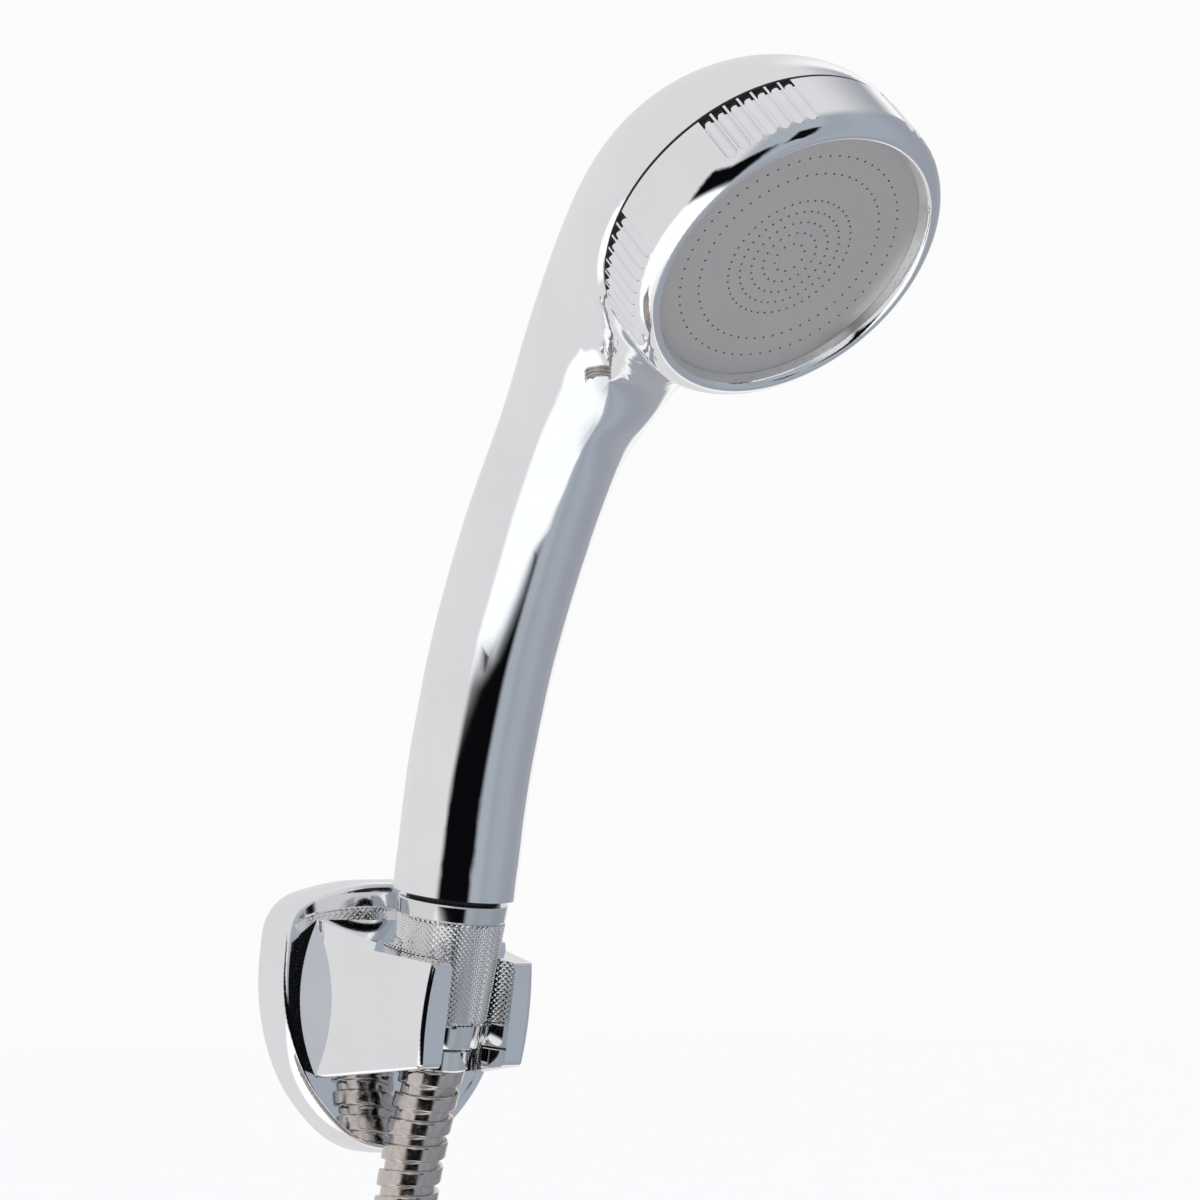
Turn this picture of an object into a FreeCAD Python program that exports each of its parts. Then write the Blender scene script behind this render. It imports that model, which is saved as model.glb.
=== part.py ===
import FreeCAD, Part
import math
import os

from FreeCAD import Base

os.makedirs("parts", exist_ok=True)

# Frame: the wall is the plane y = 0, the front is -Y, up is +Z, X runs along the wall.
# The origin is the middle of the wall plate's back. Millimetres throughout.

# ---- driving dimensions: wall bracket ----
PLATE_HALF_W = 32.0        # half width of the shield-shaped wall plate
PLATE_TOP = 31.2           # top of the plate above the origin
PLATE_BOTTOM = -29.7
PLATE_T = 8.6              # how far the plate stands off the wall
FORK_BASE_HALF_W = 22.4    # outer half width of the fork at the plate
FORK_TIP_HALF_W = 14.3     # and at the tips of its prongs
FORK_LENGTH = 30.8         # plate face to the tip of a prong, along the top
FORK_BULGE = 1.9           # the cheeks swell by this much at mid height
SLOT_HALF_W = 8.8          # the hose passes through this slot
SEAT_GAP = 0.08            # running clearance between the nut and its seat
SCREW_SPACING = 26.0       # wall screw holes, one above the other
FORK_SCREW_Z = (-5.0, 8.0)
FORK_SCREW_X = 12.0

# ---- driving dimensions: handset ----
TILT_DEG = 10.5            # the nut's axis leans forward from the vertical
GRIP_BASE = (0.0, -28.6, 27.8)   # centre of the handle's lower end
GRIP_R = 13.5
GRIP_WALL = 2.6
BEND_START = 15.0          # height where the grip starts to curve forward
BEND_RATE = 0.00483        # 1/mm, curvature of the grip
NIPPLE_R = 10.9
THREAD_R = 10.35           # G1/2 male, plain at running clearance
WATERWAY_R = 6.0

# ---- driving dimensions: head ----
FACE_F = 81.9              # face centre ahead of the grip's axis
FACE_Z = 142.3             # face centre above the grip's lower end
FACE_DOWN_DEG = 36.2       # the face looks this far below square to the axis
RING_R = 35.2
RING_BACK = -12.4          # along the face axis from the spray face
SEAM = -12.75
LIP_R = 29.7               # opening of the ring
SPIGOT_R = 31.0
SPIGOT_BORE = 28.4
RING_BORE = 31.06
PLATE_R = 31.0
RING_ROWS = ((3.4, 10), (6.05, 20), (8.7, 30), (11.3, 40), (13.95, 50), (20.5, 60), (24.75, 66))
PINHOLE_R = 0.25
FLUTE_GROUPS = 5
FLUTES_PER_GROUP = 7
FLUTE_PITCH_DEG = 4.9
FLUTE_R = 1.25             # each flute is a half-round channel, this deep in the ring's side
FLUTE_END = -0.9           # middle of a flute's rounded end
RING_FRONT = ((35.2, -1.6), (35.06, -0.6), (34.62, 0.55), (33.75, 1.75), (32.55, 2.72), (31.5, 3.1),
              (30.75, 2.9), (30.3, 2.2), (29.95, 1.1), (29.7, 0.05))
FLUTE_GROUP_TURN_DEG = 59.0

# ---- driving dimensions: nut and hose ----
NUT_TOP = -1.3
NUT_BOTTOM = -33.0
NUT_TOP_R = 12.3
NUT_BOTTOM_R = 9.8
HOSE_R = 7.0
HOSE_START = -38.5
HOSE_LEAN_DEG = 16.0       # the hose leaves leaning toward the wall
FIRST_RUN = 22.0
COIL_R = 71.5
COIL_SIDE_X = -3.0        # where the hose comes down into the coil
COIL_TURNS = 3
COIL_POINTS = 14
COIL_PITCH = 14.7
COIL_BACK_Y = -14.0        # middle of the hose where the coil starts, nearest the wall
COIL_CENTRE_Z = -136.0
TAIL_LENGTH = 52.0
SUPPLY_THREAD_R = 9.3      # G1/2 female, plain


def vec(x, y, z):
    return Base.Vector(x, y, z)


def save(node, *solids):
    shape = solids[0] if len(solids) == 1 else Part.makeCompound(list(solids))
    shape.exportStep("parts/%s.step" % node)
    print(node, len(shape.Solids), round(shape.Volume, 1), shape.isValid())


# ---- placement of the handset in the bracket's frame ----

def handset_place(shape):
    """Handset frame: origin at the grip's lower end, +Z up the nut's axis, -Y forward."""
    tilt = Base.Rotation(vec(1, 0, 0), TILT_DEG)
    out = shape.copy()
    out.Placement = Base.Placement(vec(*GRIP_BASE), tilt).multiply(out.Placement)
    return out


def face_place(shape):
    """Face frame: +Z out of the spray face, origin at the face centre."""
    aim = Base.Rotation(vec(0, 0, 1), vec(0, -math.cos(math.radians(FACE_DOWN_DEG)),
                                          -math.sin(math.radians(FACE_DOWN_DEG))))
    out = shape.copy()
    out.Placement = Base.Placement(vec(0, -FACE_F, FACE_Z), aim).multiply(out.Placement)
    return handset_place(out)


def face_point(out, up):
    """A point (forward, height) of the handset's mid plane given in the face frame."""
    down = math.radians(FACE_DOWN_DEG)
    return (FACE_F + out * math.cos(down) + up * math.sin(down),
            FACE_Z - out * math.sin(down) + up * math.cos(down))


def revolve(points):
    """Solid of revolution about Z from (radius, height) points."""
    wire = Part.makePolygon([vec(r, 0, z) for r, z in points] + [vec(points[0][0], 0, points[0][1])])
    return Part.Face(wire).revolve(vec(0, 0, 0), vec(0, 0, 1), 360)


def tube(outer, inner, z0, z1):
    return revolve([(inner, z0), (outer, z0), (outer, z1), (inner, z1)])


# ---- wall bracket ----

def plate_outline(scale, y):
    """Shield outline: broad top, tapering to a rounded foot."""
    half = ((10.0, 30.8), (18.6, 29.2), (26.4, 26.4), (30.3, 21.8), (31.5, 16.0), (32.0, 9.0),
            (31.2, 0.5), (28.9, -7.6), (25.2, -14.7), (19.6, -21.3), (11.4, -27.3))
    stretch = scale * PLATE_HALF_W / 32.0
    right = [vec(x * stretch, y, z * scale) for x, z in half]
    left = [vec(-x * stretch, y, z * scale) for x, z in reversed(half)]
    loop = [vec(0, y, PLATE_TOP * scale)] + right + [vec(0, y, PLATE_BOTTOM * scale)] + left
    curve = Part.BSplineCurve()
    curve.interpolate(Points=loop, PeriodicFlag=True)
    return Part.Wire(curve.toShape())


def wall_plate():
    steps = ((1.0, -3.4), (0.9975, -4.8), (0.990, -6.1), (0.978, -7.2), (0.962, -8.05), (0.94, -PLATE_T))
    body = Part.makeLoft([plate_outline(s, y) for s, y in steps], True, False)
    body = body.fuse(Part.Face(plate_outline(1.0, 0)).extrude(vec(0, -3.4, 0)))
    back = Part.Face(plate_outline(0.92, 0)).extrude(vec(0, -6.4, 0))
    mirror = Part.Face(plate_outline(0.89, -PLATE_T)).extrude(vec(0, 0.35, 0))
    body = body.cut(back).cut(mirror)
    for z in FORK_SCREW_Z:
        for x in (-FORK_SCREW_X, FORK_SCREW_X):
            body = body.cut(Part.makeCylinder(1.7, 12, vec(x, 0, z), vec(0, -1, 0)))
    return body.cut(Part.makeCylinder(2.05, 14, vec(0, -2.6, -35), vec(0, 0, 1)))


def seat_cut(r_grow):
    """The nut's cone, grown by a clearance, with room for the hose below it."""
    slope = (NUT_TOP_R - NUT_BOTTOM_R) / (NUT_TOP - NUT_BOTTOM)
    r_high = NUT_TOP_R + slope * 12 + r_grow
    cone = Part.makeCone(NUT_BOTTOM_R + r_grow, r_high, NUT_TOP - NUT_BOTTOM + 12, vec(0, 0, NUT_BOTTOM))
    below = Part.makeCylinder(10.4, 30, vec(0, 0, NUT_BOTTOM - 30))
    relief = Part.makeBox(2 * SLOT_HALF_W, 12.4, 30, vec(-SLOT_HALF_W, 0, NUT_BOTTOM - 30))
    slot = Part.makeBox(2 * SLOT_HALF_W, 40, 90, vec(-SLOT_HALF_W, -40, NUT_BOTTOM - 40))
    tool = cone.fuse(below).fuse(relief).fuse(slot)
    turn_back = Base.Placement(vec(*GRIP_BASE), Base.Rotation(vec(1, 0, 0), TILT_DEG))
    tool.Placement = turn_back
    return tool


def cheek(sign):
    """Everything inside one cheek: a drum of large radius lying along the cheek's direction."""
    close_in = math.atan((FORK_BASE_HALF_W + FORK_BULGE - FORK_TIP_HALF_W) / FORK_LENGTH)
    radius = 34.6 ** 2 / (8 * FORK_BULGE)
    base_y = -PLATE_T + 0.35
    mid = FORK_BASE_HALF_W + FORK_BULGE - radius / math.cos(close_in)
    along = vec(-sign * math.sin(close_in), -math.cos(close_in), 0)
    start = vec(sign * mid, base_y, 4.7) - along * 40
    return Part.makeCylinder(radius, 120, start, along)


def holder_fork():
    """Two prongs growing out of a broad base, their tips square to the nut's axis."""
    lean = math.tan(math.radians(TILT_DEG))
    base_y = -PLATE_T + 0.35
    tip_y = -PLATE_T - FORK_LENGTH
    side = [(base_y, 22.0), (tip_y, 12.2), (tip_y + 22.2 * lean, -10.0), (base_y, -12.6)]
    wide = 2 * FORK_BASE_HALF_W
    wire = Part.makePolygon([vec(-FORK_BASE_HALF_W, y, z) for y, z in side + side[:1]])
    block = Part.Face(wire).extrude(vec(wide, 0, 0))
    for sign in (-1, 1):
        block = block.common(cheek(sign))
    fronts = [e for e in block.Edges if e.BoundBox.YMax < tip_y + 6]
    block = block.makeFillet(2.0, fronts)
    unders = [e for e in block.Edges if e.BoundBox.ZMax < -8 and e.BoundBox.YLength > 18]
    block = block.makeFillet(0.9, unders)
    # the arms' tops sit a little below the back of the block
    step = Part.makeBox(60, 40, 20, vec(-30, -40, 0))
    step.Placement = Base.Placement(vec(0, -24.0, 15.2), Base.Rotation(vec(1, 0, 0), TILT_DEG))
    block = block.cut(step).cut(seat_cut(SEAT_GAP))
    for z in FORK_SCREW_Z:
        for x in (-FORK_SCREW_X, FORK_SCREW_X):
            block = block.cut(Part.makeCylinder(1.25, 4.2, vec(x, base_y, z), vec(0, -1, 0)))
    return block.removeSplitter()


def fork_screw(x, z):
    """Pan-head screw driven from inside the hollow plate into the fork."""
    head = Part.makeCylinder(2.7, 1.7, vec(x, -4.7, z), vec(0, -1, 0))
    shank = Part.makeCylinder(1.25, 5.6, vec(x, -6.4, z), vec(0, -1, 0))
    drive = Part.makeBox(3.6, 0.9, 0.7, vec(x - 1.8, -5.6, z - 0.35))
    cross = Part.makeBox(0.7, 0.9, 3.6, vec(x - 0.35, -5.6, z - 1.8))
    return head.fuse(shank).cut(drive).cut(cross)


def mounting_plate():
    base = Part.makeBox(16, 1.6, 40, vec(-8, -1.6, -20))
    edges = [e for e in base.Edges if e.BoundBox.YLength > 1.5]
    base = base.makeFillet(4, edges)
    tab = Part.makeBox(9, 4.4, 3.0, vec(-4.5, -4.8, -20))
    base = base.fuse(tab).cut(Part.makeCylinder(1.55, 5.2, vec(0, -2.6, -20.5)))
    for z in (-SCREW_SPACING / 2, SCREW_SPACING / 2):
        base = base.cut(Part.makeCylinder(2.25, 3, vec(0, 0.5, z), vec(0, -1, 0)))
    return base.removeSplitter()


def grub_screw():
    screw = Part.makeCylinder(1.5, 9.0, vec(0, -2.6, -26.5))
    return screw.cut(Part.makeCylinder(0.8, 2.0, vec(0, -2.6, -26.5)))


def back_gasket():
    ring = Part.Face(plate_outline(0.915, -0.05)).extrude(vec(0, -1.2, 0))
    ring = ring.cut(Part.Face(plate_outline(0.80, 0.5)).extrude(vec(0, -3, 0)))
    return ring.cut(Part.makeBox(4.4, 4, 12, vec(-2.2, -3, -32)))


# ---- handset ----

def section(p, q, half_width, count=28):
    """Closed row of points through a fore-and-aft pair given as (forward, height)."""
    cf, cz = (p[0] + q[0]) / 2, (p[1] + q[1]) / 2
    af, az = (p[0] - q[0]) / 2, (p[1] - q[1]) / 2
    loop = []
    for k in range(count + 1):
        t = 2 * math.pi * (k % count) / count
        c, s = math.cos(t), math.sin(t)
        loop.append(vec(half_width * s, -(cf + af * c), cz + az * c))
    return loop


def smooth_steps(knots, values, at):
    """Cubic through the values that never overshoots them."""
    count = len(knots)
    rate = [(values[i + 1] - values[i]) / (knots[i + 1] - knots[i]) for i in range(count - 1)]
    slope = [rate[0]]
    for i in range(1, count - 1):
        same = rate[i - 1] * rate[i] > 0
        slope.append(2 * rate[i - 1] * rate[i] / (rate[i - 1] + rate[i]) if same else 0.0)
    slope.append(rate[-1])
    i = max(k for k in range(count - 1) if knots[k] <= at + 1e-9)
    h = knots[i + 1] - knots[i]
    t = (at - knots[i]) / h
    return (values[i] * (1 + 2 * t) * (1 - t) ** 2 + slope[i] * h * t * (1 - t) ** 2
            + values[i + 1] * t * t * (3 - 2 * t) + slope[i + 1] * h * t * t * (t - 1))


def dense_rows(rows, count):
    """More rows between the given ones, evenly spread along the body."""
    flat = [(p[0], p[1], q[0], q[1], b) for p, q, b in rows]
    knots = [0.0]
    for one, two in zip(flat, flat[1:]):
        knots.append(knots[-1] + math.hypot(two[0] + two[2] - one[0] - one[2],
                                            two[1] + two[3] - one[1] - one[3]) / 2)
    out = []
    for k in range(count):
        at = knots[-1] * k / (count - 1)
        v = [smooth_steps(knots, [row[j] for row in flat], at) for j in range(5)]
        out.append(((v[0], v[1]), (v[2], v[3]), v[4]))
    return out


def skin(rows):
    """Solid whose side passes smoothly through the rows of points, with flat ends."""
    surface = Part.BSplineSurface()
    surface.interpolate(rows)
    side = surface.toShape()
    u0, u1, v0, v1 = surface.bounds()
    caps = []
    for u in (u0, u1):
        caps.append(Part.Face(Part.Wire(surface.uIso(u).toShape())))
    shell = Part.makeShell([side] + caps)
    shell.sewShape()
    solid = Part.makeSolid(Part.Shell(shell.Faces))
    if solid.Volume < 0:
        solid.reverse()
    return solid


def grip_pair(z, r):
    """Back and front points of the round grip at a height along its curved axis."""
    rise = max(0.0, z - BEND_START)
    f = 0.5 * BEND_RATE * rise * rise
    lean = math.atan(BEND_RATE * rise)
    return ((f - r * math.cos(lean), z + r * math.sin(lean)),
            (f + r * math.cos(lean), z - r * math.sin(lean)))


GRIP_LEVELS = (0, 20, 46, 74, 102)
HEAD_SECTIONS = (((11.5, 125.5), (37.6, 104.8), 15.8),
                 ((23.5, 147.5), (42.4, 112.2), 20.0),
                 ((43.0, 168.5), (47.0, 116.8), 27.0),
                 ((66.0, 180.5), (49.2, 119.2), 33.5),
                 ((82.0, 182.6), (50.2, 120.4), 36.0))


# wall left in front, row by row: the neck needs more because its skin slants across the rows
FRONT_WALLS = (2.9, 2.9, 2.9, 2.9, 3.0, 3.6, 5.0, 7.6)


def shrink(pair, wall, front_wall):
    (pf, pz), (qf, qz), b = pair
    length = math.hypot(pf - qf, pz - qz)
    uf, uz = (pf - qf) / length, (pz - qz) / length
    return (pf - uf * wall, pz - uz * wall), (qf + uf * front_wall, qz + uz * front_wall), b - wall


def handle_shell():
    rows = [grip_pair(z, GRIP_R + 0.005 * z) + (GRIP_R + 0.005 * z,) for z in GRIP_LEVELS]
    rows += list(HEAD_SECTIONS)
    rows.append((face_point(SEAM, 35.0), face_point(SEAM, -35.0), 35.0))
    outer = skin([section(*row) for row in dense_rows(rows, 24)])
    inner_rows = [shrink(row, GRIP_WALL + 0.3, front) for row, front in zip(rows[1:-2], FRONT_WALLS)]
    inner_rows.append((face_point(-15.2, SPIGOT_BORE - 0.4), face_point(-15.2, -SPIGOT_BORE + 0.4),
                       SPIGOT_BORE - 0.4))
    inner = skin([section(*row) for row in dense_rows(inner_rows, 22)])
    shell = outer.cut(inner)
    spigot = tube(SPIGOT_R, SPIGOT_BORE, SEAM - 2.2, -3.0)
    collar = tube(33.6, SPIGOT_BORE, SEAM - 2.2, SEAM)
    local = Base.Placement(vec(0, -FACE_F, FACE_Z), Base.Rotation(vec(0, 0, 1), vec(
        0, -math.cos(math.radians(FACE_DOWN_DEG)), -math.sin(math.radians(FACE_DOWN_DEG)))))
    bore = Part.makeCylinder(SPIGOT_BORE, 16, vec(0, 0, -15.4))
    for piece in (spigot, collar, bore):
        piece.Placement = local
    shell = shell.fuse(collar).fuse(spigot).cut(bore)
    shell = shell.cut(Part.makeCylinder(NIPPLE_R, 15.0, vec(0, 0, -1)))
    shell = shell.cut(Part.makeCylinder(8.0, 9.0, vec(0, 0, 13.0)))
    return handset_place(shell)


def inlet_nipple():
    pts = [(WATERWAY_R, -11.5), (THREAD_R - 0.6, -11.5), (THREAD_R, -10.9), (THREAD_R, -1.5), (9.6, -1.3),
           (9.6, 0.0), (NIPPLE_R, 0.0), (NIPPLE_R, 6.0), (9.4, 6.0), (9.4, 8.0), (NIPPLE_R, 8.0),
           (NIPPLE_R, 13.5), (8.0, 13.5), (8.0, 11.5), (WATERWAY_R, 11.5)]
    return handset_place(revolve(pts))


def inlet_o_ring():
    pts = [(9.4, 6.5), (9.9, 6.1), (10.4, 6.1), (10.9, 6.5), (10.9, 7.5), (10.4, 7.9), (9.9, 7.9), (9.4, 7.5)]
    return handset_place(revolve(pts))


def flow_restrictor():
    disc = Part.makeCylinder(8.0, 2.0, vec(0, 0, 11.5))
    disc = disc.cut(Part.makeCylinder(1.6, 4, vec(0, 0, 11)))
    for k in range(6):
        a = math.radians(60 * k)
        disc = disc.cut(Part.makeCylinder(1.1, 4, vec(4.4 * math.cos(a), 4.4 * math.sin(a), 11)))
    return handset_place(disc)


def water_tube():
    pts = []
    for k in range(12):
        z = 13.6 + 8.2 * k
        rise = max(0.0, z - BEND_START)
        pts.append(vec(0, -0.5 * BEND_RATE * rise * rise, z))
    curve = Part.BSplineCurve()
    curve.interpolate(pts)
    spine = Part.Wire(curve.toShape())
    solids = []
    for r in (7.6, 6.2):
        ring = Part.Wire(Part.makeCircle(r, pts[0], vec(0, 0, 1)))
        solids.append(spine.makePipeShell([ring], True, True))
    return handset_place(solids[0].cut(solids[1]))


def diffuser():
    disc = Part.makeCylinder(SPIGOT_BORE - 0.02, 1.6, vec(0, 0, -6.4))
    for r, n in ((8.0, 6), (16.0, 12), (23.0, 18)):
        for k in range(n):
            a = 2 * math.pi * k / n
            disc = disc.cut(Part.makeCylinder(1.5, 4, vec(r * math.cos(a), r * math.sin(a), -7.5)))
    return face_place(disc)


def seam_ring():
    return face_place(tube(34.9, SPIGOT_R, SEAM, SEAM + 0.28))


def face_ring():
    front = Part.BSplineCurve()
    front.interpolate([vec(r, 0, z) for r, z in RING_FRONT])
    back = [(LIP_R, 0.05), (RING_BORE, 0.05), (RING_BORE, RING_BACK), (34.8, RING_BACK),
            (RING_R, RING_BACK + 0.5), RING_FRONT[0]]
    wire = Part.Wire([front.toShape()] + Part.makePolygon([vec(r, 0, z) for r, z in back]).Edges)
    ring = Part.Face(wire).revolve(vec(0, 0, 0), vec(0, 0, 1), 360)
    foot = RING_BACK - 0.5
    for g in range(FLUTE_GROUPS):
        for k in range(FLUTES_PER_GROUP):
            place = (k - (FLUTES_PER_GROUP - 1) / 2) * FLUTE_PITCH_DEG
            a = math.radians(FLUTE_GROUP_TURN_DEG + g * 360.0 / FLUTE_GROUPS + place)
            x, y = RING_R * math.cos(a), RING_R * math.sin(a)
            channel = Part.makeCylinder(FLUTE_R, FLUTE_END - foot, vec(x, y, foot))
            end = Part.makeSphere(FLUTE_R, vec(x, y, FLUTE_END))
            ring = ring.cut(channel.fuse(end))
    return face_place(ring)


def spray_plate():
    outer = Part.Wire(Part.makeCircle(PLATE_R, vec(0, 0, -1.0)))
    holes = []
    for r, n in RING_ROWS:
        for k in range(n):
            a = 2 * math.pi * k / n
            centre = vec(r * math.cos(a), r * math.sin(a), -1.0)
            holes.append(Part.Wire(Part.makeCircle(PINHOLE_R, centre)))
    face = Part.Face([outer] + holes, "Part::FaceMakerBullseye")
    return face_place(face.extrude(vec(0, 0, 1.0)))


def plate_gasket():
    return face_place(tube(PLATE_R - 0.2, SPIGOT_BORE + 0.3, -2.9, -1.0))


# ---- nut and hose ----

def conical_nut():
    pts = [(10.45, NUT_TOP - 0.4), (10.85, NUT_TOP), (12.0, NUT_TOP), (NUT_TOP_R, NUT_TOP - 0.4),
           (NUT_BOTTOM_R, NUT_BOTTOM + 0.3), (NUT_BOTTOM_R - 0.3, NUT_BOTTOM), (7.45, NUT_BOTTOM), (7.45, -15.7),
           (10.45, -15.7)]
    return handset_place(revolve(pts))


def hose_ferrule():
    pts = [(4.5, -13.6), (9.8, -13.6), (9.8, -15.6), (7.4, -15.6), (7.4, -32.0), (5.6, -32.0), (5.6, -44.0),
           (4.5, -44.0)]
    return handset_place(revolve(pts))


def hose_washer():
    return handset_place(tube(10.0, 5.5, -13.5, -11.6))


def hose_sleeve(start, end):
    return revolve([(5.6, start), (6.9, start), (7.6, start - 0.7), (7.6, end + 0.5), (7.1, end), (5.6, end)])


def run_points():
    """Middle line of the hose from the nut down the wall to the coil."""
    tilt = math.radians(TILT_DEG)
    lean = math.radians(HOSE_LEAN_DEG)
    gx, gy, gz = GRIP_BASE
    start = (gx, gy - HOSE_START * math.sin(tilt), gz + HOSE_START * math.cos(tilt))
    second = (gx - 1.8, start[1] + FIRST_RUN * math.sin(lean), start[2] - FIRST_RUN * math.cos(lean))
    return [start, second, (-3.6, -14.0, -55.0), (-4.0, -13.3, -83.0),
            (-3.3, -13.5, -110.0), (COIL_SIDE_X, COIL_BACK_Y, COIL_CENTRE_Z)]


def coil_points():
    """One point on the hose for each step round the hanging coil."""
    points = []
    for k in range(COIL_TURNS * COIL_POINTS):
        turns = (k + 0.5) / COIL_POINTS
        a = math.pi + 2 * math.pi * turns
        points.append((COIL_SIDE_X - COIL_R * (1 + math.cos(a)), COIL_BACK_Y - COIL_PITCH * turns,
                       COIL_CENTRE_Z + COIL_R * math.sin(a)))
    return points


def tail_points():
    """From the coil down to the supply end."""
    y = COIL_BACK_Y - COIL_PITCH * COIL_TURNS
    x = COIL_SIDE_X
    return [(x, y, COIL_CENTRE_Z), (x + 0.5, y - 0.5, COIL_CENTRE_Z - TAIL_LENGTH / 2),
            (x, y - 1.4, COIL_CENTRE_Z - TAIL_LENGTH)]


def rounded_path(points):
    """Straight runs joined by tangent arcs, and the arcs' radii."""
    p = [vec(*q) for q in points]
    edges = []
    radii = []
    last = p[0]
    for i in range(1, len(p) - 1):
        back = p[i - 1] - p[i]
        ahead = p[i + 1] - p[i]
        half = (math.pi - back.getAngle(ahead)) / 2
        cut = 0.45 * min(back.Length, ahead.Length)
        radii.append(cut / math.tan(half))
        a = p[i] + back.normalize() * cut
        b = p[i] + ahead.normalize() * cut
        bisector = (back + ahead).normalize()
        mid = p[i] + bisector * (radii[-1] / math.cos(half) - radii[-1])
        edges.append(Part.makeLine(last, a))
        edges.append(Part.Arc(a, mid, b).toShape())
        last = b
    edges.append(Part.makeLine(last, p[-1]))
    return edges, radii


def swept_hose(name, points):
    edges, radii = rounded_path(points)
    length = sum(e.Length for e in edges)
    ring = Part.Wire(Part.makeCircle(HOSE_R, vec(*points[0]), vec(*points[1]) - vec(*points[0])))
    solid = Part.Wire(edges).makePipeShell([ring], True, True)
    print(name, "length mm", round(length, 1), "radii", [round(r) for r in radii],
          "volume over ideal", round(solid.Volume / (math.pi * HOSE_R ** 2 * length), 4))
    return solid


def hose_run():
    return swept_hose("hose_run", run_points())


def hose_tail():
    return swept_hose("hose_tail", tail_points())


def hose_coil():
    """Outer shape of the turns, wound beside each other."""
    edges, radii = rounded_path(run_points()[:-1] + coil_points() + tail_points()[1:])
    print("whole hose mm", round(sum(e.Length for e in edges), 1), "smallest radius", round(min(radii), 1))
    near = COIL_BACK_Y + HOSE_R - COIL_PITCH * 0.1
    far = COIL_BACK_Y - COIL_PITCH * COIL_TURNS - HOSE_R + COIL_PITCH * 0.1
    ring = tube(COIL_R + HOSE_R, COIL_R - HOSE_R, 0, near - far)
    ring = ring.makeFillet(HOSE_R * 0.6, ring.Edges)
    ring.Placement = Base.Placement(vec(COIL_SIDE_X - COIL_R, near, COIL_CENTRE_Z), Base.Rotation(vec(1, 0, 0), 90))
    return ring


def tail_place(shape):
    """Places a part built about Z, its +Z pointing back up the hose, at the hose's far end."""
    points = tail_points()
    end = vec(*points[-1])
    back = vec(*points[-2]) - end
    out = shape.copy()
    out.Placement = Base.Placement(end, Base.Rotation(vec(0, 0, 1), back))
    return out


def supply_ferrule():
    pts = [(4.5, 4.5), (5.6, 4.5), (5.6, -6.0), (6.9, -6.0), (6.9, -14.0), (8.9, -14.0), (8.9, -16.0), (4.5, -16.0)]
    return tail_place(revolve(pts))


def supply_washer():
    return tail_place(tube(9.0, 5.0, -18.2, -16.1))


def supply_nut():
    hexagon = Part.makePolygon([vec(13.2 * math.cos(math.radians(60 * k)), 13.2 * math.sin(math.radians(60 * k)),
                                    -27.0) for k in range(7)])
    nut = Part.Face(hexagon).extrude(vec(0, 0, 17.0))
    round_off = Part.makeCone(11.6, 16.4, 4.8, vec(0, 0, -27.0))
    round_top = Part.makeCone(16.4, 10.4, 6.0, vec(0, 0, -16.0))
    body = Part.makeCylinder(16.4, 6.3, vec(0, 0, -22.3))
    nut = nut.common(round_off.fuse(body).fuse(round_top))
    nut = nut.cut(Part.makeCylinder(6.95, 30, vec(0, 0, -30)))
    nut = nut.cut(Part.makeCylinder(SUPPLY_THREAD_R, 13, vec(0, 0, -28)))
    relief = Part.makeCylinder(SUPPLY_THREAD_R + 0.4, 4.3, vec(0, 0, -18.3))
    return tail_place(nut.cut(relief).removeSplitter())


def coil_tie():
    """Flat band around the bundle of turns, on the far side of the coil."""
    y_in = COIL_BACK_Y + HOSE_R + 0.4
    y_out = COIL_BACK_Y - COIL_PITCH * COIL_TURNS - HOSE_R - 0.4
    x_mid = COIL_SIDE_X - 2 * COIL_R
    outer = Part.makeBox(2 * HOSE_R + 3.4, y_in - y_out + 2.4, 6.0,
                         vec(x_mid - HOSE_R - 1.7, y_out - 1.2, COIL_CENTRE_Z - 3.0))
    inner = Part.makeBox(2 * HOSE_R + 1.2, y_in - y_out + 0.2, 8.0,
                         vec(x_mid - HOSE_R - 0.6, y_out - 0.1, COIL_CENTRE_Z - 4.0))
    band = outer.cut(inner)
    return band


def main():
    save("wall_plate", wall_plate())
    save("holder_fork", holder_fork())
    screws = [fork_screw(x, z) for x in (-FORK_SCREW_X, FORK_SCREW_X) for z in FORK_SCREW_Z]
    save("fork_screws", *screws)
    save("mounting_plate", mounting_plate())
    save("grub_screw", grub_screw())
    save("back_gasket", back_gasket())
    save("handle_shell", handle_shell())
    save("inlet_nipple", inlet_nipple())
    save("inlet_o_ring", inlet_o_ring())
    save("flow_restrictor", flow_restrictor())
    save("water_tube", water_tube())
    save("diffuser", diffuser())
    save("seam_ring", seam_ring())
    save("face_ring", face_ring())
    save("spray_plate", spray_plate())
    save("plate_gasket", plate_gasket())
    save("conical_nut", conical_nut())
    save("hose_ferrule", hose_ferrule())
    save("hose_washer", hose_washer())
    save("hose_sleeves", handset_place(hose_sleeve(-33.3, HOSE_START)), tail_place(hose_sleeve(0.0, -5.6)))
    save("hose_run", hose_run())
    save("hose_coil", hose_coil())
    save("hose_tail", hose_tail())
    save("supply_ferrule", supply_ferrule())
    save("supply_washer", supply_washer())
    save("supply_nut", supply_nut())
    save("coil_tie", coil_tie())


main()
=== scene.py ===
import math

import bpy
from mathutils import Matrix, Vector


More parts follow.
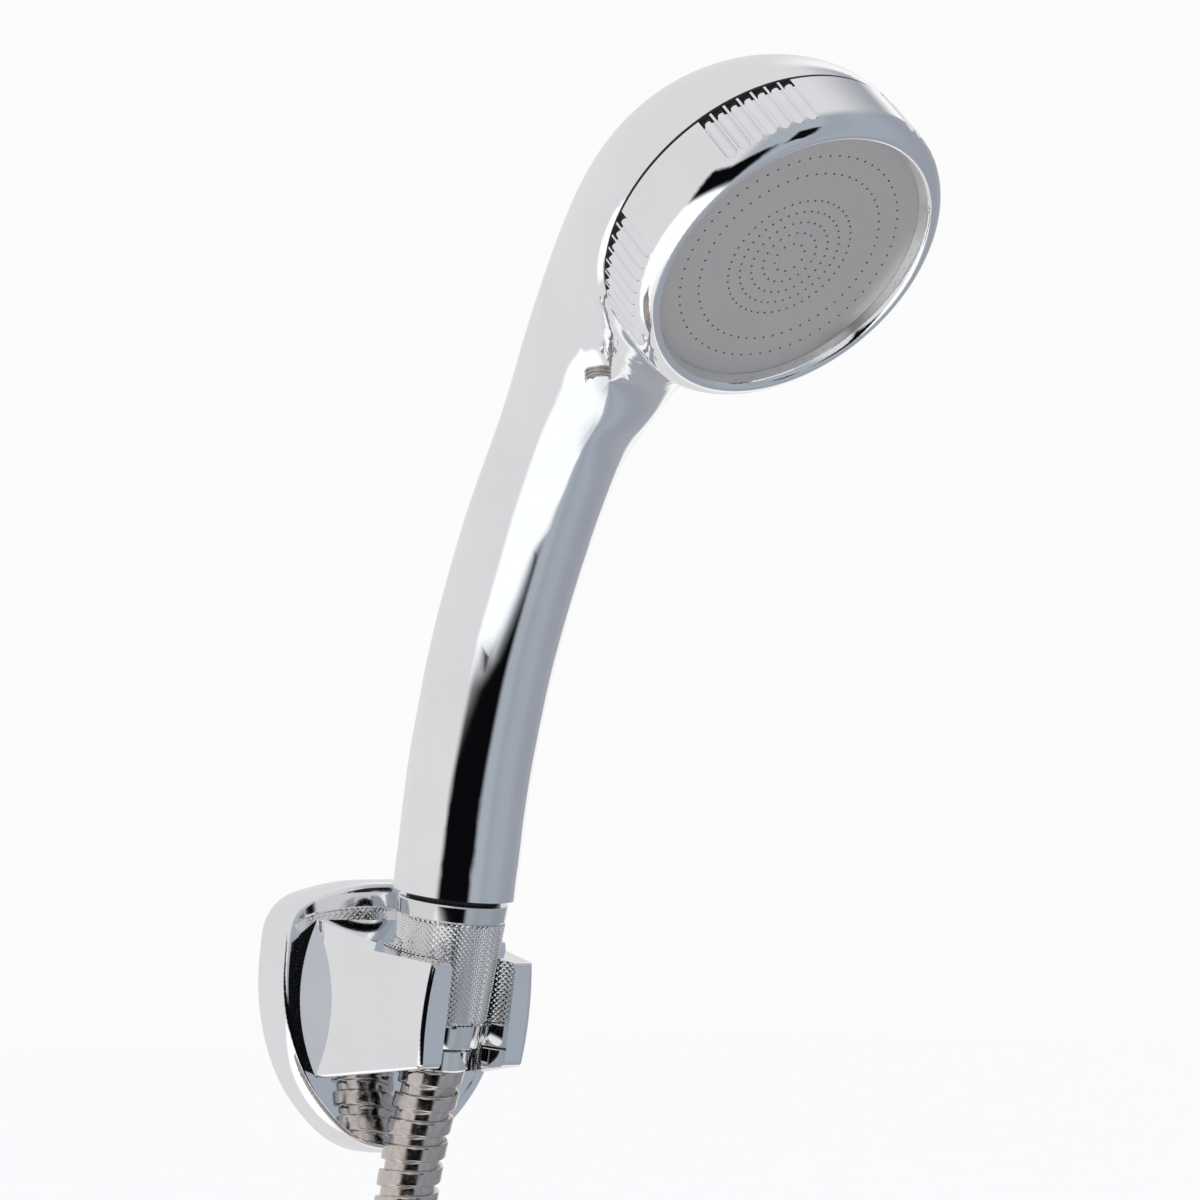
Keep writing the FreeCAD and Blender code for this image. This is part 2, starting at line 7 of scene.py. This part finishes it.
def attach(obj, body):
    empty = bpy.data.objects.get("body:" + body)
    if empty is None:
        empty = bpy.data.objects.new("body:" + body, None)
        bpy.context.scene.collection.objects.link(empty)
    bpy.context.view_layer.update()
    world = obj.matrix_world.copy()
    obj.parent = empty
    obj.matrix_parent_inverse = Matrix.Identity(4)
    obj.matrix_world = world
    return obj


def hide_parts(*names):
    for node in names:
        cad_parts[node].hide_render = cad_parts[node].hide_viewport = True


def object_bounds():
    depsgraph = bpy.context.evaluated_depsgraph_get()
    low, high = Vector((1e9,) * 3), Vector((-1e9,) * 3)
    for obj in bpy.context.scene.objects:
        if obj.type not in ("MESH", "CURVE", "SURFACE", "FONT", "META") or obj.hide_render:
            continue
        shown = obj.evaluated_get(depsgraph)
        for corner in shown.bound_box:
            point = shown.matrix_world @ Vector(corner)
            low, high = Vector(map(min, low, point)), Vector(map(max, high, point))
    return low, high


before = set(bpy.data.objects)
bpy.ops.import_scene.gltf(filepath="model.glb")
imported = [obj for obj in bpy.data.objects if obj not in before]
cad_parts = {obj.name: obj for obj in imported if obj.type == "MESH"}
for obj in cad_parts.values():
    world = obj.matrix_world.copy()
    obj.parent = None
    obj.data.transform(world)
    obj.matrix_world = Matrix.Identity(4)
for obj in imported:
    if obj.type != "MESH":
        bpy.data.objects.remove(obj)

CAD_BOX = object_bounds()
MM = 0.001

# The handset's own frame: origin at the grip's lower end, Z up the nut's axis, -Y forward.
HANDSET = Matrix.Translation((0, -28.6 * MM, 27.8 * MM)) @ Matrix.Rotation(math.radians(10.5), 4, "X")


# ---------------------------------------------------------------- camera

CAMERA_PLACE = (-0.45328, -0.59886, 0.01604)
CAMERA_RIGHT = Vector((0.75471, -0.65606, 0.0))
CAMERA_UP = Vector((-0.06858, -0.07889, 0.99452))
CAMERA_LENS = 99.0


def add_camera():
    back = CAMERA_RIGHT.cross(CAMERA_UP)
    data = bpy.data.cameras.new("camera")
    data.lens = CAMERA_LENS
    data.sensor_width = 36.0
    data.clip_start = 0.01
    camera = bpy.data.objects.new("camera", data)
    turn = Matrix((CAMERA_RIGHT, CAMERA_UP, back)).transposed().to_4x4()
    camera.matrix_world = Matrix.Translation(CAMERA_PLACE) @ turn
    bpy.context.scene.collection.objects.link(camera)
    bpy.context.scene.camera = camera


# ---------------------------------------------------------------- node helpers

class Nodes:
    """Short ways to add and link shader nodes."""

    def __init__(self, tree):
        self.tree = tree

    def add(self, kind, **settings):
        node = self.tree.nodes.new("ShaderNode" + kind)
        for key, value in settings.items():
            setattr(node, key, value)
        return node

    def put(self, socket, value):
        if isinstance(value, bpy.types.NodeSocket):
            self.tree.links.new(value, socket)
        else:
            socket.default_value = value

    def math(self, operation, a, b=0.0):
        node = self.add("Math", operation=operation)
        self.put(node.inputs[0], a)
        self.put(node.inputs[1], b)
        return node.outputs[0]

    def product(self, first, *others):
        for other in others:
            first = self.math("MULTIPLY", first, other)
        return first

    def ramp(self, value, low, high, out_low=0.0, out_high=1.0):
        node = self.add("MapRange", interpolation_type="SMOOTHSTEP")
        for slot, v in zip(("Value", "From Min", "From Max", "To Min", "To Max"),
                           (value, low, high, out_low, out_high)):
            self.put(node.inputs[slot], v)
        return node.outputs["Result"]

    def mix(self, factor, a, b):
        node = self.add("Mix", data_type="RGBA")
        self.put(node.inputs[0], factor)
        self.put(node.inputs[6], a)
        self.put(node.inputs[7], b)
        return node.outputs[2]

    def dot(self, vector, direction):
        node = self.add("VectorMath", operation="DOT_PRODUCT")
        self.put(node.inputs[0], vector)
        self.put(node.inputs[1], direction)
        return node.outputs["Value"]

    def noise(self, vector, scale, detail=3.0, roughness=0.5):
        node = self.add("TexNoise")
        self.put(node.inputs["Vector"], vector)
        self.put(node.inputs["Scale"], scale)
        self.put(node.inputs["Detail"], detail)
        self.put(node.inputs["Roughness"], roughness)
        return node.outputs["Fac"]

    def stretched(self, vector, scale):
        node = self.add("Mapping")
        self.put(node.inputs["Vector"], vector)
        self.put(node.inputs["Scale"], scale)
        return node.outputs["Vector"]

    def bump(self, height, strength, distance):
        node = self.add("Bump")
        self.put(node.inputs["Height"], height)
        self.put(node.inputs["Strength"], strength)
        self.put(node.inputs["Distance"], distance)
        return node.outputs["Normal"]


def new_material(name, metallic, roughness):
    """A material, its node helper, its main shader and the piece's own coordinates."""
    material = bpy.data.materials.new(name)
    material.use_nodes = True
    nodes = Nodes(material.node_tree)
    shader = material.node_tree.nodes["Principled BSDF"]
    shader.inputs["Metallic"].default_value = metallic
    shader.inputs["Roughness"].default_value = roughness
    place = nodes.add("TexCoord").outputs["Object"]
    return material, nodes, shader, place


# ---------------------------------------------------------------- materials

FILM_DULLS = 0.012         # the water film adds this much roughness to plating


def chrome(name, tint, rough, waviness=0.012):
    """Bright plating: faint water film in the gloss and a slow ripple from the polishing."""
    material, nodes, shader, place = new_material(name, 1.0, rough)
    film = nodes.noise(place, 55.0, 4.0, 0.6)
    specks = nodes.noise(place, 900.0, 2.0, 0.6)
    low = tuple(0.965 * c for c in tint) + (1.0,)
    nodes.put(shader.inputs["Base Color"], nodes.mix(nodes.ramp(film, 0.35, 0.7), tint + (1.0,), low))
    spots = nodes.ramp(specks, 0.62, 0.8, 0.0, 0.05)
    gloss = nodes.ramp(film, 0.3, 0.75, rough, rough + FILM_DULLS)
    nodes.put(shader.inputs["Roughness"], nodes.math("ADD", gloss, spots))
    ripple = nodes.noise(place, 70.0, 1.0, 0.3)
    nodes.put(shader.inputs["Normal"], nodes.bump(ripple, waviness, 0.0004))
    return material


def hose_steel():
    """Drawn stainless strip: fine darker, duller marks over a warm, uneven tone."""
    material, nodes, shader, place = new_material("hose_steel", 1.0, 0.18)
    lines = nodes.noise(place, 650.0, 3.0, 0.7)
    patches = nodes.noise(place, 90.0, 3.0, 0.6)
    warm = nodes.mix(patches, (0.66, 0.60, 0.56, 1.0), (0.74, 0.69, 0.66, 1.0))
    colour = nodes.mix(nodes.ramp(lines, 0.3, 0.7), warm, (0.60, 0.54, 0.50, 1.0))
    nodes.put(shader.inputs["Base Color"], colour)
    nodes.put(shader.inputs["Roughness"], nodes.ramp(lines, 0.3, 0.8, 0.12, 0.26))
    nodes.put(shader.inputs["Normal"], nodes.bump(lines, 0.15, 0.0001))
    return material


def face_steel():
    """Fine bead-blasted stainless sheet with a satin sheen."""
    material, nodes, shader, place = new_material("face_steel", 0.65, 0.36)
    grain = nodes.noise(place, 4200.0, 3.0, 0.7)
    cloud = nodes.noise(place, 45.0, 3.0, 0.55)
    base = nodes.mix(cloud, (0.585, 0.56, 0.54, 1.0), (0.64, 0.615, 0.595, 1.0))
    colour = nodes.mix(nodes.ramp(grain, 0.35, 0.65, 0.0, 0.3), base, (0.44, 0.425, 0.41, 1.0))
    nodes.put(shader.inputs["Base Color"], colour)
    nodes.put(shader.inputs["Roughness"], nodes.ramp(grain, 0.3, 0.7, 0.33, 0.46))
    nodes.put(shader.inputs["Normal"], nodes.bump(grain, 0.12, 0.00004))
    return material


def moulded(name, colour, shade, rough):
    """Moulded rubber or plastic with a faint grain and uneven tone."""
    material, nodes, shader, place = new_material(name, 0.0, rough)
    tone = nodes.noise(place, 60.0, 4.0, 0.6)
    grain = nodes.noise(place, 1800.0, 2.0, 0.6)
    nodes.put(shader.inputs["Base Color"], nodes.mix(tone, colour + (1.0,), shade + (1.0,)))
    nodes.put(shader.inputs["Roughness"], nodes.ramp(grain, 0.3, 0.7, rough - 0.06, rough + 0.1))
    nodes.put(shader.inputs["Normal"], nodes.bump(grain, 0.2, 0.00006))
    return material


def plain_metal(name, colour, shade, rough):
    """Turned brass or zinc-plated steel: tool lines and a slight tarnish."""
    material, nodes, shader, place = new_material(name, 1.0, rough)
    lines = nodes.noise(nodes.stretched(place, (300.0, 300.0, 2600.0)), 1.0, 2.0, 0.5)
    tarnish = nodes.noise(place, 140.0, 4.0, 0.6)
    tone = nodes.mix(nodes.ramp(tarnish, 0.35, 0.75), colour + (1.0,), shade + (1.0,))
    nodes.put(shader.inputs["Base Color"], tone)
    nodes.put(shader.inputs["Roughness"], nodes.ramp(lines, 0.25, 0.75, rough, rough + 0.14))
    nodes.put(shader.inputs["Normal"], nodes.bump(lines, 0.15, 0.00004))
    return material


# ---------------------------------------------------------------- mesh helpers

def mesh_object(name, verts, faces, material, matrix=None, sharp_deg=32.0):
    """A smooth-shaded object whose edges stay sharp where they turn by more than `sharp_deg`."""
    mesh = bpy.data.meshes.new(name)
    mesh.from_pydata([tuple(v) for v in verts], [], faces)
    if matrix is not None:
        mesh.transform(matrix)
    mesh.validate()
    mesh.materials.append(material)
    mesh.shade_smooth()
    mesh.set_sharp_from_angle(angle=math.radians(sharp_deg))
    obj = bpy.data.objects.new(name, mesh)
    bpy.context.scene.collection.objects.link(obj)
    return obj


def ring_faces(count, rows):
    """Quads between rows of `count` points each, wrapped round both ways."""
    faces = []
    for i in range(rows):
        here = i * count
        there = (i + 1) % rows * count
        for j in range(count):
            k = (j + 1) % count
            faces.append((here + j, here + k, there + k, there + j))
    return faces


def lathe(profile, count):
    """Points and faces of a closed ring turned from (radius, height) pairs in millimetres."""
    verts = []
    for r, z in profile:
        for j in range(count):
            a = 2 * math.pi * j / count
            verts.append(Vector((r * math.cos(a), r * math.sin(a), z)) * MM)
    return verts, ring_faces(count, len(profile))


# ---------------------------------------------------------------- hose

COIL_SIDE_X = -3.0
COIL_R = 71.5
COIL_TURNS = 3
COIL_POINTS = 14
COIL_PITCH = 14.7
COIL_BACK_Y = -14.0
COIL_Z = -136.0
TAIL = 52.0
BAND_PITCH = 5.7 * MM
BAND_POINTS = 40           # round the hose
FINE = 0.25 * MM           # spacing of the places worked out along the hose


def hose_route():
    """The hose's points from the nut to the supply end, in millimetres."""
    points = [(0.0, -21.584, -10.056), (-1.8, -15.520, -31.204), (-3.6, -14.0, -55.0),
              (-4.0, -13.3, -83.0), (-3.3, -13.5, -110.0)]
    for k in range(COIL_TURNS * COIL_POINTS):
        turns = (k + 0.5) / COIL_POINTS
        a = math.pi + 2 * math.pi * turns
        points.append((COIL_SIDE_X - COIL_R * (1 + math.cos(a)), COIL_BACK_Y - COIL_PITCH * turns,
                       COIL_Z + COIL_R * math.sin(a)))
    y = COIL_BACK_Y - COIL_PITCH * COIL_TURNS
    return points + [(COIL_SIDE_X + 0.5, y - 0.5, COIL_Z - TAIL / 2), (COIL_SIDE_X, y - 1.4, COIL_Z - TAIL)]


def route_line(points):
    """Close points on the smooth curve that the route's points control."""
    curve = bpy.data.curves.new("route", "CURVE")
    curve.dimensions = "3D"
    curve.resolution_u = 24
    spline = curve.splines.new("NURBS")
    spline.points.add(len(points) - 1)
    for point, place in zip(spline.points, points):
        point.co = (place[0] * MM, place[1] * MM, place[2] * MM, 1.0)
    spline.order_u = 3
    spline.use_endpoint_u = True
    holder = bpy.data.objects.new("route", curve)
    mesh = bpy.data.meshes.new_from_object(holder)
    line = [v.co.copy() for v in mesh.vertices]
    bpy.data.meshes.remove(mesh)
    bpy.data.objects.remove(holder)
    bpy.data.curves.remove(curve)
    return line


def evenly(line, step):
    """Places and directions every `step` along a line."""
    places = []
    reach = 0.0
    due = 0.0
    for a, b in zip(line, line[1:]):
        gap = (b - a).length
        while due <= reach + gap + 1e-12 and gap > 1e-9:
            places.append(a.lerp(b, (due - reach) / gap))
            due += step
        reach += gap
    heads = []
    for i in range(len(places)):
        heads.append((places[min(i + 1, len(places) - 1)] - places[max(i - 1, 0)]).normalized())
    return places, heads


# One turn of the interlocked strip: (share of the pitch, radius). A broad band, its rolled
# edge, then the recessed part that the next turn slides over.
BAND = ((0.0, 5.95), (0.012, 6.55), (0.035, 6.86), (0.07, 6.97), (0.14, 7.0), (0.34, 6.985),
        (0.54, 7.0), (0.60, 6.97), (0.635, 6.86), (0.655, 6.5), (0.665, 6.0), (0.69, 5.92),
        (0.80, 5.95), (0.93, 5.93))


def strip_faces(rows):
    """Quads of the wound strip: the end of each row joins the row one turn further on."""
    faces = []
    for k in range(rows - 1):
        for j in range(BAND_POINTS - 1):
            here = k * BAND_POINTS + j
            faces.append((here, here + 1, here + BAND_POINTS + 1, here + BAND_POINTS))
        if k + 1 + len(BAND) < rows:
            end = k * BAND_POINTS + BAND_POINTS - 1
            start = (k + len(BAND)) * BAND_POINTS
            faces.append((end, start, start + BAND_POINTS, end + BAND_POINTS))
    return faces


def hose_mesh(line, material):
    """The strip winds round the hose, so each column of points starts a little further on.

    It runs one turn past each end of the line, into the sleeves.
    """
    inner_start = line[0] + (line[0] - line[1]).normalized() * BAND_PITCH
    inner_end = line[-1] + (line[-1] - line[-2]).normalized() * BAND_PITCH
    line = [inner_start] + line + [inner_end]
    length = sum((b - a).length for a, b in zip(line, line[1:]))
    places, heads = evenly(line, FINE)
    sides = [heads[0].orthogonal().normalized()]
    for before, after in zip(heads, heads[1:]):
        sides.append((before.rotation_difference(after) @ sides[-1]).normalized())
    rows = (int(length / BAND_PITCH) - 1) * len(BAND)
    verts = []
    for k in range(rows):
        share, radius = BAND[k % len(BAND)]
        for j in range(BAND_POINTS):
            at = (k // len(BAND) + share + j / BAND_POINTS) * BAND_PITCH
            i = min(int(at / FINE), len(places) - 2)
            rest = at / FINE - i
            centre = places[i].lerp(places[i + 1], min(rest, 1.0))
            side = sides[i]
            other = heads[i].cross(side)
            a = 2 * math.pi * j / BAND_POINTS
            verts.append(centre + (side * math.cos(a) + other * math.sin(a)) * radius * MM)
    return mesh_object("hose", verts, strip_faces(rows), material, sharp_deg=50.0)


def add_hose(materials):
    line = route_line(hose_route())
    hose = hose_mesh(line, materials["hose"])
    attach(hose, "hose_end")
    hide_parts("hose_run", "hose_coil", "hose_tail")


# ---------------------------------------------------------------- knurled nut

NUT_TOP = -1.3
NUT_BOTTOM = -33.0
NUT_TOP_R = 12.3
NUT_BOTTOM_R = 9.8
NUT_BORE = 7.45
NUT_SOCKET_R = 10.45
NUT_SOCKET_FLOOR = -15.7
KNURL_STARTS = 58
KNURL_TOP = -5.2
KNURL_ROWS = 36
KNURL_DEPTH = 0.42
KNURL_MEAN_R = 11.2
TOOTH_TOP = 0.17           # half the width of a tooth's flat top, as a share of the pitch


def nut_radius(z):
    """The nut narrows downward so that it seats in the fork."""
    return NUT_TOP_R + (z - NUT_TOP) / (NUT_BOTTOM - NUT_TOP) * (NUT_BOTTOM_R - NUT_TOP_R)


def knurl(low, step):
    """Rows of small pyramids with flat tops, above the foot `low`; neighbours share their low points."""
    verts = []
    faces = []
    seen = {}

    def point(turn, z, depth):
        key = (round(turn * 4) % (4 * KNURL_STARTS), round(z, 4))
        if depth and key in seen:
            return seen[key]
        a = 2 * math.pi * turn / KNURL_STARTS
        r = nut_radius(z) - depth
        verts.append(Vector((r * math.cos(a), r * math.sin(a), z)) * MM)
        if depth:
            seen[key] = len(verts) - 1
        return len(verts) - 1

    for row in range(KNURL_ROWS):
        z = low + (row + 1) * step / 2
        for k in range(KNURL_STARTS):
            mid = k + 0.5 * (row % 2)
            low_ring = [point(mid - 0.5, z, KNURL_DEPTH), point(mid, z - step / 2, KNURL_DEPTH),
                        point(mid + 0.5, z, KNURL_DEPTH), point(mid, z + step / 2, KNURL_DEPTH)]
            top_ring = [point(mid - TOOTH_TOP, z, 0.0), point(mid, z - step * TOOTH_TOP, 0.0),
                        point(mid + TOOTH_TOP, z, 0.0), point(mid, z + step * TOOTH_TOP, 0.0)]
            faces.append(tuple(top_ring))
            for i in range(4):
                j = (i + 1) % 4
                faces.append((low_ring[i], low_ring[j], top_ring[j], top_ring[i]))
    return verts, faces


def add_nut(materials):
    step = 2 * math.pi * KNURL_MEAN_R / KNURL_STARTS
    low = KNURL_TOP - (KNURL_ROWS + 1) * step / 2
    floor_low = low + 0.1
    floor_high = KNURL_TOP - 0.1
    sink = KNURL_DEPTH + 0.03
    profile = [
        (NUT_SOCKET_R, NUT_TOP - 0.4), (NUT_SOCKET_R + 0.4, NUT_TOP), (NUT_TOP_R - 0.55, NUT_TOP),
        (NUT_TOP_R - 0.2, NUT_TOP - 0.1), (NUT_TOP_R - 0.06, NUT_TOP - 0.45), (nut_radius(-2.6), -2.6),
        (nut_radius(KNURL_TOP + 0.35), KNURL_TOP + 0.35), (nut_radius(KNURL_TOP) - 0.12, KNURL_TOP + 0.1),
        (nut_radius(floor_high) - sink, floor_high), (nut_radius(floor_low) - sink, floor_low),
        (nut_radius(low) - 0.12, low - 0.15), (nut_radius(low - 0.45), low - 0.45),
        (nut_radius(NUT_BOTTOM + 0.6), NUT_BOTTOM + 0.6), (nut_radius(NUT_BOTTOM) - 0.1, NUT_BOTTOM + 0.2),
        (nut_radius(NUT_BOTTOM) - 0.4, NUT_BOTTOM), (NUT_BORE + 0.15, NUT_BOTTOM),
        (NUT_BORE, NUT_BOTTOM + 0.2), (NUT_BORE, NUT_SOCKET_FLOOR), (NUT_SOCKET_R, NUT_SOCKET_FLOOR),
    ]
    verts, faces = lathe(profile, 96)
    teeth, tooth_faces = knurl(low, step)
    base = len(verts)
    verts += teeth
    faces += [tuple(base + i for i in face) for face in tooth_faces]
    nut = mesh_object("knurled_nut", verts, faces, materials["knurl"], HANDSET, sharp_deg=24.0)
    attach(nut, "nut")
    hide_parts("conical_nut")


# ---------------------------------------------------------------- finishes on the CAD pieces

def finish_nodes(materials):
    kinds = {
        "chrome_cast": ("wall_plate", "holder_fork"),
        "chrome": ("handle_shell", "face_ring"),
        "collar": ("hose_sleeves", "supply_nut"),
        "plate": ("spray_plate",),
        "steel": ("fork_screws", "mounting_plate", "grub_screw", "supply_ferrule", "hose_ferrule"),
        # The inlet nipple's material is near-black painted shade for the deep gap behind the handle.
        "inlet": ("inlet_nipple",),
        "rubber": ("back_gasket", "inlet_o_ring", "seam_ring", "plate_gasket", "hose_washer",
                   "supply_washer"),
        "white": ("flow_restrictor", "water_tube", "diffuser"),
        "tie": ("coil_tie",),
    }
    for kind, names in kinds.items():
        for name in names:
            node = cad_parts[name]
            for slot in node.material_slots:
                slot.material = materials[kind]


# ---------------------------------------------------------------- light and floor

# Directions are given by `turn`, the degrees round from the camera to its right, and `rise`, the
# degrees above the horizon.
CAMERA_SIDE = (0.755, -0.656, 0.0)
TOWARD_CAMERA = (-0.656, -0.755, 0.0)
PAPER = (0.97, 0.97, 0.97, 1.0)
TENT = (0.75, 0.745, 0.76, 1.0)
TABLE = (1.09, 1.12, 1.14, 1.0)
CAMERA_GAP = (0.003, 0.003, 0.004, 1.0)
STAND = (0.004, 0.004, 0.005, 1.0)
# The tent's right side, from the camera round to the back: (start turn, end turn, colour).
RIGHT_SIDE = ((-6.0, 14.0, (0.40, 0.44, 0.49)), (46.0, 56.0, (0.35, 0.385, 0.43)),
              (60.0, 74.0, (0.37, 0.41, 0.47)), (84.0, 112.0, (0.33, 0.35, 0.40)),
              (124.0, 146.0, (0.38, 0.39, 0.43)), (150.0, 160.0, (1.0, 1.0, 1.0)),
              (162.0, 178.0, TENT[:3]))
TABLE_PEAK_TURN = -35.0    # the table's far edge is highest here
TABLE_SLOPE = 0.4          # and falls this much for each degree to either side


def studio():
    """White tent round the object: grey on the right, a lit table below, black by the camera."""
    world = bpy.data.worlds.new("studio")
    bpy.context.scene.world = world
    world.use_nodes = True
    nodes = Nodes(world.node_tree)
    back = world.node_tree.nodes["Background"]
    way = nodes.add("TexCoord").outputs["Generated"]
    right = nodes.dot(way, CAMERA_SIDE)
    front = nodes.dot(way, TOWARD_CAMERA)
    height = nodes.dot(way, (0.0, 0.0, 1.0))
    turn = nodes.product(nodes.math("ARCTAN2", right, front), math.degrees(1))
    rise = nodes.product(nodes.math("ARCSINE", height), math.degrees(1))

    tent = TENT
    for start, end, colour in RIGHT_SIDE:
        tent = nodes.mix(nodes.ramp(turn, start, end), tent, colour + (1.0,))
    tent = nodes.mix(nodes.ramp(rise, 38.0, 72.0), tent, TENT)

    # The lit table fills the view below, and fades straight under the object.
    aside = nodes.math("ABSOLUTE", nodes.math("ADD", turn, -TABLE_PEAK_TURN))
    slope = nodes.math("ADD", rise, nodes.product(aside, TABLE_SLOPE))
    table = nodes.product(nodes.ramp(turn, -130.0, -118.0), nodes.ramp(turn, 44.0, 34.0),
                          nodes.ramp(slope, -15.0, -21.0), nodes.ramp(rise, -84.0, -66.0, 0.35, 1.0))
    tent = nodes.mix(table, tent, TABLE)

    # The black gap round the camera stands on the table's edge and is taller on the left.
    head = nodes.math("ADD", rise, nodes.product(nodes.math("MINIMUM", turn, 0.0), 0.75))
    gap = nodes.product(nodes.ramp(turn, -36.0, -24.0), nodes.ramp(turn, 36.0, 25.0),
                        nodes.ramp(slope, -20.0, -12.0), nodes.ramp(head, -2.0, -9.0))
    tent = nodes.mix(gap, tent, CAMERA_GAP)

    # A narrow black stand to the right of the camera.
    stand = nodes.product(nodes.ramp(turn, 34.0, 38.0), nodes.ramp(turn, 52.0, 47.0),
                          nodes.ramp(rise, -13.0, -9.0), nodes.ramp(rise, 14.0, 9.0))
    tent = nodes.mix(stand, tent, STAND)

    seen = nodes.add("LightPath").outputs["Is Camera Ray"]
    nodes.put(back.inputs["Color"], nodes.mix(seen, tent, PAPER))
    back.inputs["Strength"].default_value = 1.0


FLOOR_HALF = 6.0


def floor():
    """Pale paper under the lowest point, kept out of the plating's reflections."""
    low = CAD_BOX[0][2]
    verts = [(-FLOOR_HALF, -FLOOR_HALF, low), (FLOOR_HALF, -FLOOR_HALF, low),
             (FLOOR_HALF, FLOOR_HALF, low), (-FLOOR_HALF, FLOOR_HALF, low)]
    material, nodes, shader, place = new_material("floor_paper", 0.0, 0.7)
    tone = nodes.noise(place, 30.0, 3.0, 0.6)
    colour = nodes.mix(tone, (0.88, 0.88, 0.88, 1.0), (0.91, 0.91, 0.91, 1.0))
    nodes.put(shader.inputs["Base Color"], colour)
    paper = mesh_object("floor", verts, [(0, 1, 2, 3)], material)
    paper.visible_glossy = False


def sky():
    """Even light from above, so broad that it leaves only soft shadows on the paper."""
    data = bpy.data.lights.new("sky", "SUN")
    data.energy = 1.5
    data.angle = 1.6
    light = bpy.data.objects.new("sky", data)
    light.rotation_euler = (math.radians(12), math.radians(-14), 0)
    light.visible_glossy = False
    bpy.context.scene.collection.objects.link(light)


def main():
    bpy.context.scene.view_settings.view_transform = "Standard"
    add_camera()
    materials = {
        "chrome": chrome("chrome_plastic", (0.93, 0.935, 0.945), 0.035),
        "chrome_cast": chrome("chrome_cast", (0.92, 0.925, 0.935), 0.045, waviness=0.02),
        "knurl": chrome("chrome_knurl", (0.84, 0.835, 0.83), 0.07),
        "collar": chrome("chrome_collar", (0.90, 0.895, 0.89), 0.07),
        "hose": hose_steel(),
        "plate": face_steel(),
        "steel": plain_metal("plated_steel", (0.62, 0.61, 0.60), (0.50, 0.49, 0.47), 0.28),
        # Near-black painted shade on the inlet nipple: it stands in for the shade in the deep, narrow gap
        # behind the handle.
        "inlet": plain_metal("nipple_painted_shade", (0.10, 0.10, 0.105), (0.06, 0.06, 0.065), 0.4),
        "rubber": moulded("black_rubber", (0.012, 0.012, 0.013), (0.022, 0.022, 0.023), 0.6),
        "white": moulded("white_plastic", (0.78, 0.78, 0.76), (0.70, 0.70, 0.68), 0.42),
        "tie": moulded("tie_plastic", (0.03, 0.03, 0.032), (0.05, 0.05, 0.052), 0.5),
    }
    add_hose(materials)
    add_nut(materials)
    finish_nodes(materials)
    studio()
    floor()
    sky()


main()
